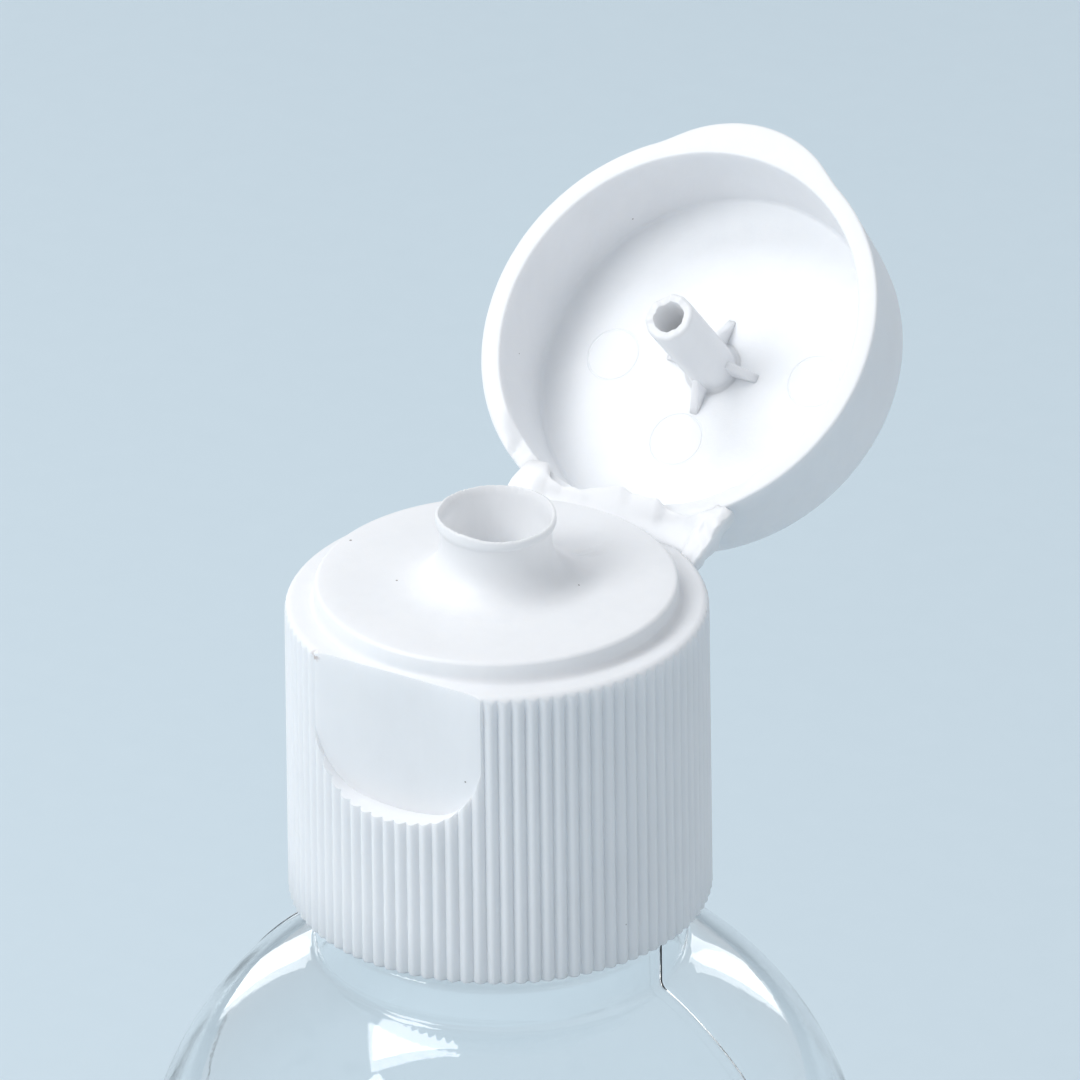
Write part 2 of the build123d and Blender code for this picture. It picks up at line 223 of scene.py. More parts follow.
class Turned:
    """A round piece drawn ring by ring: the open edge is extruded, moved and sized at each step."""

    def __init__(self, name, around, radius, height, filled=False):
        nothing_selected()
        fill = "TRIFAN" if filled else "NOTHING"
        bpy.ops.mesh.primitive_circle_add(
            vertices=around, radius=radius, fill_type=fill, location=(0, 0, 0)
        )
        self.piece = bpy.context.object
        self.piece.name = self.piece.data.name = name
        self.radius, self.height = radius, 0.0
        bpy.ops.object.mode_set(mode="EDIT")
        bpy.ops.mesh.select_mode(type="VERT")
        bpy.ops.mesh.select_all(action="SELECT")
        bpy.ops.transform.translate(value=(0, 0, height))
        self.height = height
        if filled:
            mesh = bmesh.from_edit_mesh(self.piece.data)
            for vertex in mesh.verts:
                vertex.select = hypot(vertex.co.x, vertex.co.y) > radius / 2
            mesh.select_flush_mode()
        bpy.ops.mesh.select_mode(type="EDGE")

    def to(self, radius, height):
        bpy.ops.mesh.extrude_edges_move(
            TRANSFORM_OT_translate={"value": (0, 0, height - self.height)}
        )
        share = radius / self.radius
        bpy.ops.transform.resize(value=(share, share, 1), center_override=(0, 0, height))
        self.radius, self.height = radius, height
        return self

    def along(self, points):
        for radius, height in points:
            self.to(radius, height)
        return self

    def reshape(self, place):
        """Moves the points of the open edge, by a function of (angle, point)."""
        mesh = bmesh.from_edit_mesh(self.piece.data)
        for vertex in mesh.verts:
            if vertex.select:
                vertex.co = place(atan2(vertex.co.y, vertex.co.x), vertex.co)
        bmesh.update_edit_mesh(self.piece.data)

    def close(self):
        bpy.ops.mesh.merge(type="CENTER")
        return self.finish()

    def finish(self):
        bpy.ops.object.mode_set(mode="OBJECT")
        tidy_mesh(self.piece)
        return self.piece


# ================================================================ closure

def rib_height(angle):
    """0 in a valley, 1 on a rib's rounded crest."""
    step = round(angle * RIBS * RIB_STEPS / (2 * pi)) % RIB_STEPS
    return (0.5 + 0.5 * cos(2 * pi * step / RIB_STEPS)) ** 0.45


def ribbed(radius, most):
    """Reshapes a ring into ribs whose crests stand at radius, none further out than most."""
    def place(angle, point):
        depth = rib_depth * (1 - 0.6 * smooth_step(ledge - 1.3 * MM, ledge - 0.2 * MM, point.z))
        reach = min(radius - depth * (1 - rib_height(angle)), most)
        return Vector((reach * cos(angle), reach * sin(angle), point.z))
    return place


def make_closure():
    """The one moulding from skirt foot to nozzle lip, outside and inside."""
    body = Turned("closure_body", RIBS * RIB_STEPS, cap_bore + lead_in, foot)
    body.to(13.2 * MM, foot)
    levels = [(0.0, -0.22), (0.08, -0.08), (0.22, 0.0)]
    levels += [(share * 3.86, 0.0) for share in (1, 2, 3, 4, 5)]
    for rise, set_back in levels:
        rise, set_back = rise * MM, set_back * MM
        crest = rib_radius - skirt_draft * rise / (ledge - foot) + set_back
        body.to(crest, foot + rise)
        body.reshape(ribbed(crest, crest))
    crest = rib_radius - skirt_draft
    centre = (crest - ledge_round, ledge - ledge_round)
    for radius, height in [(crest, centre[1])] + arc(centre, ledge_round, 0, 90, 9):
        body.to(radius, height)
        body.reshape(ribbed(crest, radius))
        body.radius = radius
    body.to(disc_radius + disc_fillet + 0.25 * MM, ledge)
    body.along(arc((disc_radius + disc_fillet, ledge + disc_fillet), disc_fillet, 270, 180, 6))
    body.along(arc((disc_radius - disc_edge, disc_top - disc_edge), disc_edge, 0, 90, 5))
    body.to(disc_radius - 1.5 * MM, disc_top + 0.02 * MM)
    body.to((disc_radius + nozzle_foot) / 2, disc_top + 0.03 * MM)
    flare = nozzle_foot - waist_radius
    body.to(nozzle_foot + 0.6 * MM, disc_top + 0.04 * MM)
    body.to(nozzle_foot + 0.3 * MM, disc_top + 0.04 * MM)
    flare_high = flare * 0.95
    for step in range(1, 13):
        turn = radians(90 * step / 12)
        body.to(nozzle_foot - flare * sin(turn), disc_top + 0.04 * MM + flare_high * (1 - cos(turn)))
    body.along([
        (waist_radius - 0.02 * MM, lip - 1.25 * MM),
        (waist_radius, lip - 1.05 * MM),
        (waist_radius + 0.12 * MM, lip - 0.92 * MM),
        (lip_radius - 0.05 * MM, lip - 0.76 * MM),
        (lip_radius, lip - 0.55 * MM),
        (lip_radius, lip - 0.3 * MM),
        (lip_radius - 0.02 * MM, lip - 0.13 * MM),
        (lip_radius - 0.06 * MM, lip - 0.04 * MM),
        (lip_radius - 0.12 * MM, lip),
        (mouth_radius + 0.06 * MM, lip),
        (mouth_radius, lip - 0.07 * MM),
        (mouth_radius - 0.06 * MM, lip - 0.6 * MM),
        (mouth_radius - 0.25 * MM, lip - 2.0 * MM),
        (mouth_radius - 0.5 * MM, lip - 3.5 * MM),
        (funnel_radius, disc_top + 0.4 * MM),
        (funnel_radius - 0.15 * MM, disc_top),
        (funnel_radius - 0.55 * MM, disc_top - 0.55 * MM),
        (orifice_radius + 0.1 * MM, ledge + 0.35 * MM),
        (orifice_radius, ledge + 0.15 * MM),
        (orifice_radius, nozzle_under + 0.1 * MM),
        (orifice_radius + 0.1 * MM, nozzle_under),
        (nozzle_foot - 2.0 * MM, nozzle_under),
        (nozzle_foot, ledge),
        (ring_radius - ring_wall, ledge),
        (ring_radius - ring_wall, ring_foot + 0.1 * MM),
        (ring_radius - ring_wall + 0.1 * MM, ring_foot),
        (ring_radius - 0.1 * MM, ring_foot),
        (ring_radius, ring_foot + 0.1 * MM),
        (ring_radius, ledge - deck_drop),
        (chamber, ledge - deck_drop),
        (chamber, land - bore_step_drop),
        (cap_bore, land - bore_step_drop),
        (cap_bore, foot + lead_in),
        (cap_bore + lead_in, foot),
    ])
    piece = body.finish()
    move_points(piece, nozzle_wear)
    cut(piece, recess_cutter())
    cut(piece, bevel_cutter())
    settle(piece, crease=38)
    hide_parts("cap_skirt", "top_disc", "nozzle", "seal_ring")
    return piece


def nozzle_wear(point):
    """The spout's lip is uneven and dips at one side; a rough fleck of flash sits by its foot."""
    around = atan2(point.y, point.x)
    reach = hypot(point.x, point.y)
    if reach < lip_radius + 0.1 * MM and point.z > lip - 1.0 * MM:
        share = smooth_step(lip - 1.0 * MM, lip - 0.1 * MM, point.z)
        dip = 0.3 * smooth_step(0.1, 1.0, cos(around + radians(20)))
        ripple = 0.05 * noise.noise(Vector((3 * cos(around), 3 * sin(around), 4)))
        nicks = 0.09 * noise.noise(Vector((11 * cos(around), 11 * sin(around), 9)))
        point.z -= share * (dip + abs(ripple) + abs(nicks)) * MM
        out = 1 + 0.012 * share * noise.noise(Vector((2 * cos(around), 2 * sin(around), 1)))
        point.x *= out
        point.y *= out
    fleck = Vector((3.0, 5.6, 0)) * MM
    away = (Vector((point.x, point.y, 0)) - fleck).length
    if away < 0.9 * MM and point.z > disc_top - 0.01 * MM:
        rough = noise.noise(point * 4200) + 0.35
        point.z += max(rough, 0) * 0.34 * MM * smooth_step(0.9 * MM, 0.2 * MM, away)
    return point


def recess_cutter():
    """Block that sinks the flat thumb recess, its foot curved and its sides flared outwards."""
    nothing_selected()
    depth = 4.0 * MM
    high = ledge + 2 * MM
    low = foot + recess_height
    bpy.ops.mesh.primitive_cube_add(
        size=1,
        location=(0, -recess_flat - depth / 2, (low + high) / 2),
        scale=(2 * recess_half_width, depth, high - low),
    )
    cutter = bpy.context.object
    bpy.ops.object.transform_apply(location=True, rotation=True, scale=True)
    bpy.ops.object.mode_set(mode="EDIT")
    bpy.ops.mesh.select_mode(type="EDGE")
    bpy.ops.mesh.select_all(action="DESELECT")
    mesh = bmesh.from_edit_mesh(cutter.data)
    for edge in mesh.edges:
        centre = (edge.verts[0].co + edge.verts[1].co) / 2
        lengthways = abs(edge.verts[0].co.y - edge.verts[1].co.y) > depth / 2
        edge.select = lengthways and centre.z < low + MM
    bpy.ops.mesh.bevel(offset=recess_corner, segments=12, affect="EDGES")
    bpy.ops.mesh.select_all(action="DESELECT")
    mesh = bmesh.from_edit_mesh(cutter.data)
    for edge in mesh.edges:
        ends = [vertex.co for vertex in edge.verts]
        flat = abs(ends[0].x - ends[1].x) > recess_corner
        edge.select = flat and ends[0].z < low + 0.01 * MM
    bpy.ops.mesh.subdivide(number_cuts=24)
    bpy.ops.object.mode_set(mode="OBJECT")

    def curve_and_flare(point):
        near_foot = point.z < low + recess_corner + 0.01 * MM
        if near_foot:
            point.z += recess_arc - sqrt(recess_arc**2 - point.x**2)
        if point.y < -recess_flat - depth / 2:
            flare = 0.08 * depth
            point.x += flare * (1 if point.x > 0 else -1) * min(abs(point.x) / recess_half_width, 1)
            point.z -= flare if near_foot else 0
        return point

    move_points(cutter, curve_and_flare)
    return cutter


def bevel_cutter():
    """Block that bevels the skirt behind the hinge, so that the lid can swing past it."""
    nothing_selected()
    clearance = 0.3 * MM
    size = 12 * MM
    back = lid_rim - hinge_y + clearance
    facing = Vector((0, cos(lid_widest), -sin(lid_widest)))
    down = Vector((0, -sin(lid_widest), -cos(lid_widest)))
    on_face = Vector((0, hinge_y, hinge_z)) + facing * back
    outward = Vector((0, -down.z, down.y))
    if outward.y < 0:
        outward = -outward
    bpy.ops.mesh.primitive_cube_add(size=1, location=(0, 0, 0))
    cutter = bpy.context.object
    axes = Matrix((
        (1, 0, 0),
        (0, outward.y, down.y),
        (0, outward.z, down.z),
    )).to_4x4()
    scale = Matrix.Diagonal((2 * hinge_half_width, size, 2 * size, 1))
    cutter.matrix_world = Matrix.Translation(on_face + outward * size / 2) @ axes @ scale
    bpy.ops.object.transform_apply(location=True, rotation=True, scale=True)
    tidy_mesh(cutter)
    return cutter


def screw_thread(name, radius, depth, foot_width, crest_width, turns, start):
    """A ridge with its ends sunk back into the wall, drawn by extruding its section round the axis."""
    nothing_selected()
    embed = -0.25 * MM if depth > 0 else 0.25 * MM
    steps = round(96 * turns)
    bpy.ops.mesh.primitive_plane_add(size=1, location=(0, 0, 0))
    ridge = bpy.context.object
    ridge.name = ridge.data.name = name
    section = [
        (embed, -foot_width / 2), (depth, -crest_width / 2),
        (depth, crest_width / 2), (embed, foot_width / 2),
    ]
    for vertex, (out, height) in zip([ridge.data.vertices[k] for k in (0, 1, 3, 2)], section):
        vertex.co = Vector((radius + out, 0, start + height))
    bpy.ops.object.mode_set(mode="EDIT")
    bpy.ops.mesh.select_mode(type="FACE")
    bpy.ops.mesh.select_all(action="SELECT")
    turn = 2 * pi * turns / steps
    for _ in range(steps):
        bpy.ops.mesh.extrude_region_move(
            TRANSFORM_OT_translate={"value": (0, 0, thread_pitch * turns / steps)}
        )
        mesh = bmesh.from_edit_mesh(ridge.data)
        for vertex in mesh.verts:
            if vertex.select:
                vertex.co = Matrix.Rotation(turn, 3, "Z") @ vertex.co
        bmesh.update_edit_mesh(ridge.data)
    bpy.ops.object.mode_set(mode="OBJECT")
    length = 2 * pi * turns

    def run_out(point):
        along = (point.z - start) / thread_pitch * 2 * pi
        share = min(smooth_step(-0.25, 0.45, along), smooth_step(-0.25, 0.45, length - along))
        reach = hypot(point.x, point.y)
        wanted = radius + embed + (reach - radius - embed) * max(share, 0.02)
        point.x *= wanted / reach
        point.y *= wanted / reach
        return point

    move_points(ridge, run_out)
    tidy_mesh(ridge)
    return ridge


def make_cap_thread():
    start = land - (1.5 + 1.5 * 3.175 + 3.175 / 2) * MM
    ridge = screw_thread("cap_thread", cap_bore, -1.0 * MM, 1.3 * MM, 0.6 * MM, 1.25, start)
    settle(ridge, crease=30)
    return ridge


# ================================================================ lid

def open_lid(piece):
    """Swings a piece made in its shut place to where the lid stands open."""
    centre = Vector((0, hinge_y, hinge_z))
    turn = Matrix.Rotation(-lid_swing, 4, "X")
    piece.matrix_world = Matrix.Translation(centre) @ turn @ Matrix.Translation(-centre)
    only(piece)
    bpy.ops.object.transform_apply(location=True, rotation=True, scale=True)


def tab_outline(angle):
    """Radius of the thumb tab's rounded front along a ray from the lid's axis."""
    offset = tab_reach - tab_radius
    towards = -sin(angle) * offset
    inside = tab_radius**2 - offset**2 + towards**2
    return towards + sqrt(inside) if inside > 0 and towards > 0 else 0.0


def lid_outline(point):
    """Pulls the thumb tab out of the rim."""
    height = point.z - lid_seat
    reach = hypot(point.x, point.y)
    angle = atan2(point.y, point.x)
    outside = reach > lid_rim - lid_wall + 0.25 * MM
    if outside and height < tab_height and reach > 0:
        base = lid_rim - (lid_rim - lid_top) * max(height, 0) / lid_height
        soft = 0.5 * MM
        wanted = tab_outline(angle) - tab_lean * max(height, 0)
        blend = min(max(0.5 + 0.5 * (wanted - base) / soft, 0), 1)
        merged = base * (1 - blend) + wanted * blend + soft * blend * (1 - blend) * 0.5
        rim_share = smooth_step(lid_rim - lid_wall + 0.25 * MM, lid_rim - 0.1 * MM, reach)
        grown = reach + (max(merged, base) - base) * rim_share
        point.x *= grown / reach
        point.y *= grown / reach
    return point


def rim_wear(point):
    height = point.z - lid_seat
    reach = hypot(point.x, point.y)
    if point.y > 0 and height < 1.2 * MM and reach > 11.5 * MM:
        share = smooth_step(hinge_half_width + 0.5 * MM, hinge_half_width - 0.4 * MM, abs(point.x))
        share *= smooth_step(1.2 * MM, 0.1 * MM, height)
        inner = smooth_step(13.3 * MM, 12.5 * MM, reach)
        wave = noise.noise(Vector((point.x * 420, 3, 1)))
        wave += 0.5 * noise.noise(Vector((point.x * 1300, 7, 2)))
        point.z += share * (0.25 + 0.45 * wave) * inner * MM
        point.z += 0.3 * MM * smooth_step(0.5 * MM, 0.1 * MM, abs(point.x + 7.6 * MM))
    if height < 0.5 * MM and reach > 11.5 * MM:
        point.z += 0.02 * MM * noise.noise(point * 900)
    return point


def make_lid():
    inner = lid_rim - lid_wall
    inner_top = inner - 0.35 * MM
    fillet = floor_fillet
    cup = Turned("lid_cup", LID_COLUMNS, 0.8 * MM, lid_seat + lid_floor, filled=True)
    cup.along([(radius * MM, lid_seat + lid_floor) for radius in (1.6, 3.0, 5.0, 7.0, 9.0, 10.5)])
    cup.to(inner_top - fillet, lid_seat + lid_floor)
    centre = (inner_top - fillet, lid_seat + lid_floor - fillet)
    cup.along(arc(centre, fillet, 90, 0, 8))
    for share in (0.25, 0.5, 0.75, 0.9):
        height = (lid_floor - fillet) * (1 - share)
        cup.to(inner_top + (inner - inner_top) * share, lid_seat + height)
    rim_round = 0.14 * MM
    cup.to(inner - 0.01 * MM, lid_seat + rim_round)
    cup.along(arc((inner + rim_round, lid_seat + rim_round), rim_round, 180, 270, 4))
    cup.along([(inner + share * lid_wall, lid_seat) for share in (0.3, 0.5, 0.7, 0.85)])
    cup.along(arc((lid_rim - rim_round, lid_seat + rim_round), rim_round, 270, 360, 4))
    slope = (lid_rim - lid_top) / lid_height
    tab_top = [0.6, 1.2, 1.8, 2.1, 2.25, 2.35, 2.395]
    for height in tab_top:
        cup.to(lid_rim - slope * height * MM, lid_seat + height * MM)
    for height in (2.405, 2.5, 2.8, 3.6, 4.6, 5.6):
        cup.to(lid_rim - slope * height * MM, lid_seat + height * MM)
    centre = (lid_top + 0.04 * MM - lid_edge, lid_seat + lid_height - lid_edge)
    cup.along(arc(centre, lid_edge, 0, 90, 9))
    cup.along([(radius * MM, lid_seat + lid_height) for radius in (10.0, 7.0, 4.0, 1.5, 0.6)])
    piece = cup.close()
    move_points(piece, lid_outline)
    move_points(piece, rim_wear)
    for x, y in MARK_PLACES:
        cut(piece, ejector_mark(x * MM, y * MM))
    open_lid(piece)
    settle(piece, crease=38)
    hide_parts("lid_shell")
    return piece


def ejector_mark(x, y):
    """Thin ring that leaves the shallow groove of an ejector pin in the lid's floor."""
    nothing_selected()
    bpy.ops.mesh.primitive_torus_add(
        location=(x, y, lid_seat + lid_floor - 0.05 * MM),
        major_radius=mark_radius, minor_radius=0.1 * MM, major_segments=72, minor_segments=12,
    )
    ring = bpy.context.object
    bpy.ops.object.transform_apply(location=True, rotation=True, scale=True)
    return ring


def make_pin():
    """The hollow sealing pin with four gusset fins, standing on the lid's floor."""
    base = lid_seat + lid_floor
    tip = base - pin_length
    peg = Turned("sealing_peg", PEG_COLUMNS, 0.5 * pin_radius, base + 0.3 * MM, filled=True)
    peg.to(pin_radius + 0.35 * MM, base + 0.3 * MM)
    peg.along([(pin_radius + 0.35 * MM, base + 0.02 * MM), (pin_radius + 0.3 * MM, base - 0.02 * MM)])
    peg.along(arc((pin_radius + 0.35 * MM, base - 0.35 * MM), 0.35 * MM, 90, 180, 5))
    for share in (0.15, 0.3, 0.45, 0.6, 0.75, 0.88, 0.95):
        peg.to(pin_radius + 0.02 * MM * share, base - pin_length * share)
    peg.along([
        (pin_radius + 0.01 * MM, tip + 0.2 * MM),
        (pin_radius - 0.06 * MM, tip + 0.06 * MM),
        (pin_radius - 0.2 * MM, tip),
        (pin_bore + 0.06 * MM, tip + 0.04 * MM),
        (pin_bore, tip + 0.25 * MM),
        (pin_bore - 0.02 * MM, tip + 1.5 * MM),
        (pin_bore - 0.06 * MM, tip + 4.0 * MM),
        (pin_bore - 0.1 * MM, tip + 6.4 * MM),
        (pin_bore - 0.5 * MM, tip + 6.8 * MM),
        (pin_bore - 0.9 * MM, tip + 6.9 * MM),
    ])
    piece = peg.close()
    for quarter in range(4):
        cut(piece, gusset(quarter, base), "UNION")

    def torn_tip(point):
        share = smooth_step(tip + 0.9 * MM, tip, point.z)
        around = atan2(point.y, point.x)
        ragged = noise.noise(Vector((2.2 * cos(around), 2.2 * sin(around), 5)))
        nicks = noise.noise(Vector((7 * cos(around), 7 * sin(around), 8)))
        point.z += share * (0.12 + 0.24 * ragged + 0.08 * nicks) * MM
        bulge = 1 + 0.05 * share * noise.noise(Vector((3 * cos(around), 3 * sin(around), 2)))
        point.x *= bulge
        point.y *= bulge
        return point

    move_points(piece, torn_tip)
    open_lid(piece)
    settle(piece, crease=40)
    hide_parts("sealing_pin")
    return piece


def gusset(quarter, base):
    """One thin triangular fin from the pin's wall to the lid's floor."""
    nothing_selected()
    inner = 0.6 * pin_radius + 0.3 * MM
    height = fin_height
    bpy.ops.mesh.primitive_cube_add(
        size=1,
        location=((inner + fin_reach) / 2, 0, base - height / 2 + 0.1 * MM),
        scale=(fin_reach - inner, fin_width, height + 0.2 * MM),
    )
    fin = bpy.context.object
    bpy.ops.object.transform_apply(location=True, rotation=True, scale=True)
    low = base - height

    def slope(point):
        if point.z < base - height / 2:
            point.z = low
            if point.x > pin_radius:
                point.x = pin_radius + 0.12 * MM
            point.y *= 0.75
        return point

    move_points(fin, slope)
    apply_modifier(fin, "BEVEL", width=0.12 * MM, segments=3, limit_method="ANGLE")
    turn = Matrix.Rotation(quarter * pi / 2, 4, "Z")
    fin.matrix_world = turn
    only(fin)
    bpy.ops.object.transform_apply(location=True, rotation=True, scale=True)
    return fin


# ================================================================ living hinge

def edge_height(across):
    """Height of the torn film's upper edge above the ledge, at a place across the hinge."""
    places = [(x * MM, height * MM) for x, height in TORN_EDGE]
    for (x0, h0), (x1, h1) in zip(places, places[1:]):
        if across <= x1:
            return h0 + (h1 - h0) * max((across - x0) / (x1 - x0), 0)
    return places[-1][1]


def ear_share(across):
    """0 in the thin film, 1 in the two thick ends."""
    left = smooth_step(FILM_LEFT + 0.6 * MM, FILM_LEFT - 0.6 * MM, across)
    return max(left, smooth_step(FILM_RIGHT - 0.5 * MM, FILM_RIGHT + 0.6 * MM, across))


def hinge_section(across, step):
    """Point number step of the hinge's closed section at a place across it."""
    top = edge_height(across) / MM
    film = [
        (-1.35, -0.30), (-1.12, 0.04), (-0.86, 0.18 * top), (-0.56, 0.36 * top),
        (-0.20, 0.63 * top), (0.14, top), (0.27, top - 0.05), (0.20, 0.70 * top),
        (-0.04, 0.42 * top), (-0.25, -0.10), (-0.55, -0.85), (-1.10, -0.90),
    ]
    ear = [
        (-2.30, -1.10), (-1.90, -0.10), (-1.30, 0.26 * top), (-0.70, 0.60 * top),
        (-0.10, 0.90 * top), (0.50, 1.06 * top), (1.40, 1.08 * top), (2.00, 0.85 * top),
        (1.60, 0.35 * top), (0.80, -0.20), (0.00, -0.90), (-1.20, -1.40),
    ]
    share = ear_share(across)
    y = film[step][0] * (1 - share) + ear[step][0] * share
    z = film[step][1] * (1 - share) + ear[step][1] * share
    lean = EAR_LEAN * (top - z) * MM * (share if across > 0 else 0)
    return Vector((across - lean, hinge_y + y * MM, ledge + z * MM))


def make_hinge():
    """The living hinge: a thin torn film between a smooth thick end and a rough one."""
    nothing_selected()
    points, slices = 12, 72
    bpy.ops.mesh.primitive_circle_add(vertices=points, radius=MM, fill_type="NGON", location=(0, 0, 0))
    strip = bpy.context.object
    strip.name = strip.data.name = "living_hinge"
    bpy.ops.object.mode_set(mode="EDIT")
    bpy.ops.mesh.select_mode(type="FACE")
    bpy.ops.mesh.select_all(action="SELECT")
    for _ in range(slices):
        bpy.ops.mesh.extrude_region_move(TRANSFORM_OT_translate={"value": (0, 0, MM)})
    bpy.ops.object.mode_set(mode="OBJECT")

    def place(point):
        across = HINGE_LEFT + (HINGE_RIGHT - HINGE_LEFT) * point.z / MM / slices
        angle = atan2(point.y, point.x)
        step = round(angle * points / (2 * pi)) % points
        return hinge_section(across, step)

    move_points(strip, place)
    tidy_mesh(strip)
    apply_modifier(strip, "SUBSURF", levels=2, render_levels=2)

    def torn(point):
        film = 1 - ear_share(point.x)
        edge = smooth_step(0.8 * MM, 1.6 * MM, point.z - ledge) * film
        wave = noise.noise(Vector((point.x * 900, 5, 6)))
        point.z += edge * 0.22 * wave * MM
        rough = noise.noise_vector(point * 1100) * 0.22 + noise.noise_vector(point * 2600) * 0.08
        calm = noise.noise_vector(point * 500) * 0.05
        share = (1 - film) if point.x > 0 else 0.15 * (1 - film)
        return point + (rough * share + calm * (1 - share)) * MM

    move_points(strip, torn)
    settle(strip, crease=70)
    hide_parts("hinge_web", "hinge_ear_left", "hinge_ear_right")
    return strip


# ================================================================ bottle

def make_bottle():
    """The clear blown bottle, outer wall and inner wall, with its neck thread and mould seam."""
    girth = bottle_radius - seam_height
    shoulder = collar_foot - shoulder_rise * sqrt(1 - (collar_radius / girth) ** 2)
    corner, ring, push = base_corner, base_ring, base_push

    def ellipse(run, rise, end, steps):
        turns = [radians(end * step / steps) for step in range(1, steps + 1)]
        return [(run * cos(a), shoulder + rise * sin(a)) for a in turns]

    def foot_round(run, rise, wall_radius, size):
        """Centre of the fillet between a straight wall and the shoulder, and the angle where it ends."""
        touch = wall_radius + size / 2
        for _ in range(6):
            share = touch / run
            slope = atan2(rise * share / run, sqrt(1 - share**2))
            touch = wall_radius + size * (1 - sin(slope))
        height = shoulder + rise * sqrt(1 - (touch / run) ** 2)
        return (wall_radius + size, height + size * cos(slope)), 270 - degrees(slope)

    def dome(lift):
        shares = (0.3, 0.5, 0.7, 0.85, 0.95, 1.0)
        return [(ring * share, lift + push * (1 - share**2)) for share in shares]

    shell = Turned("bottle_shell", SHELL_COLUMNS, 0.1 * ring, push * 0.99, filled=True)
    shell.along(dome(0))
    shell.to(girth - corner, 0)
    shell.along(arc((girth - corner, corner), corner, 270, 360, 8))
    for share in (0.2, 0.4, 0.6, 0.8, 1.0):
        shell.to(girth, corner + (shoulder - corner) * share)
    centre, end = foot_round(girth, shoulder_rise, collar_radius, foot_fillet)
    outer = ellipse(girth, shoulder_rise, 60, 32)
    shell.along([point for point in outer if point[0] > collar_radius + foot_fillet])
    touch = radians(end)
    shell.to(centre[0] + foot_fillet * cos(touch), centre[1] + foot_fillet * sin(touch))
    shell.along(arc(centre, foot_fillet, end, 180, 6))
    shell.along([
        (collar_radius, collar_top - 0.5 * MM),
        (collar_radius - 0.08 * MM, collar_top - 0.15 * MM),
        (collar_radius - 0.3 * MM, collar_top + 0.1 * MM),
        (neck_radius + 0.1 * MM, collar_top + 1.25 * MM),
        (neck_radius, collar_top + 1.6 * MM),
        (neck_radius, land - 0.35 * MM),
        (neck_radius - 0.1 * MM, land - 0.1 * MM),
        (neck_radius - 0.35 * MM, land),
        (neck_bore + 0.2 * MM, land),
        (neck_bore, land - 0.2 * MM),
        (neck_bore, collar_top + 1.0 * MM),
        (neck_bore + 0.1 * MM, collar_top + 0.5 * MM),
        (collar_bore - 0.3 * MM, collar_top - 0.7 * MM),
        (collar_bore - 0.08 * MM, collar_top - 1.0 * MM),
        (collar_bore, collar_top - 1.4 * MM),
    ])
    inner_run, inner_rise = girth - wall, shoulder_rise - 0.9 * MM
    inner_fillet = foot_fillet + 0.7 * MM
    centre, end = foot_round(inner_run, inner_rise, collar_bore, inner_fillet)
    shell.along(arc(centre, inner_fillet, 180, end, 6))
    inner = ellipse(inner_run, inner_rise, 60, 32)
    shell.along([point for point in reversed(inner) if point[0] > shell.radius + 0.3 * MM])
    for share in (0.8, 0.6, 0.4, 0.2, 0.0):
        shell.to(girth - wall, corner + (shoulder - corner) * share + 0.2 * MM * (1 - share))
    shell.along(arc((girth - corner, corner + 0.2 * MM), corner - wall, 360, 270, 8))
    shell.to(ring, base_wall)
    shell.along([(radius, height + base_wall) for radius, height in reversed(dome(0)[:-1])])
    shell.to(0.1 * ring, push * 0.99 + base_wall)
    piece = shell.close()

    def seam(point):
        """A fine parting line on two sides, and walls that wander a little as blown ones do."""
        reach = hypot(point.x, point.y)
        angle = atan2(point.y, point.x)
        step = 2 * pi / SHELL_COLUMNS
        for side in (0, pi):
            off = (angle - side + pi) % (2 * pi) - pi
            if reach > collar_radius * 0.75 and abs(off) < 2.5 * step:
                column = round(off / step)
                fine = {0: 0.0, 1: 0.11, 2: 0.3}[abs(column)] * MM / reach
                angle = side + (fine if column > 0 else -fine)
                outer_side = point.z < collar_top and not inner_wall(point)
                if column == 0 and outer_side:
                    reach += seam_height
        if not inner_wall(point) or point.z > collar_foot:
            wander = 0.0
        else:
            wander = 0.10 * MM * noise.noise(point * 90)
        return Vector(((reach + wander) * cos(angle), (reach + wander) * sin(angle), point.z))

    def inner_wall(point):
        reach = hypot(point.x, point.y)
        if point.z < shoulder:
            return reach < girth - 0.4 * MM and point.z > 0.6 * MM
        if point.z < collar_foot:
            share = (point.z - shoulder) / shoulder_rise
            outer_reach = girth * sqrt(max(1 - share**2, 0))
            return reach < outer_reach - 0.4 * MM
        return reach < (collar_bore if point.z < collar_top else neck_bore) + 0.4 * MM

    move_points(piece, seam)
    tidy_mesh(piece)
    start = land - (1.5 + 1.5 * 3.175) * MM
    ridge = screw_thread("neck_thread", neck_radius, 1.0 * MM, 1.9 * MM, 1.0 * MM, 1.5, start)
    cut(piece, ridge, "UNION")
    settle(piece, crease=40)
    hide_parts("bottle")
    return piece


# ================================================================ finishes

speck_cell = 2.6 * MM                  # at most one speck in each cell
foam_cell = 0.25 * MM


class Wire:
    """A shader socket on which Python's arithmetic adds Math nodes."""

    def __init__(self, finish, socket):
        self.finish = finish
        self.socket = socket

    def maths(self, operation, first, second):
        return self.finish.node("Math", {0: first, 1: second}, operation=operation)

    def __add__(self, other):
        return self.maths("ADD", self, other)

    def __radd__(self, other):
        return self.maths("ADD", other, self)

    def __sub__(self, other):
        return self.maths("SUBTRACT", self, other)

    def __rsub__(self, other):
        return self.maths("SUBTRACT", other, self)

    def __mul__(self, other):
        return self.maths("MULTIPLY", self, other)

    def __rmul__(self, other):
        return self.maths("MULTIPLY", other, self)

    def __gt__(self, other):
        return self.maths("GREATER_THAN", self, other)

    def __lt__(self, other):
        return self.maths("LESS_THAN", self, other)


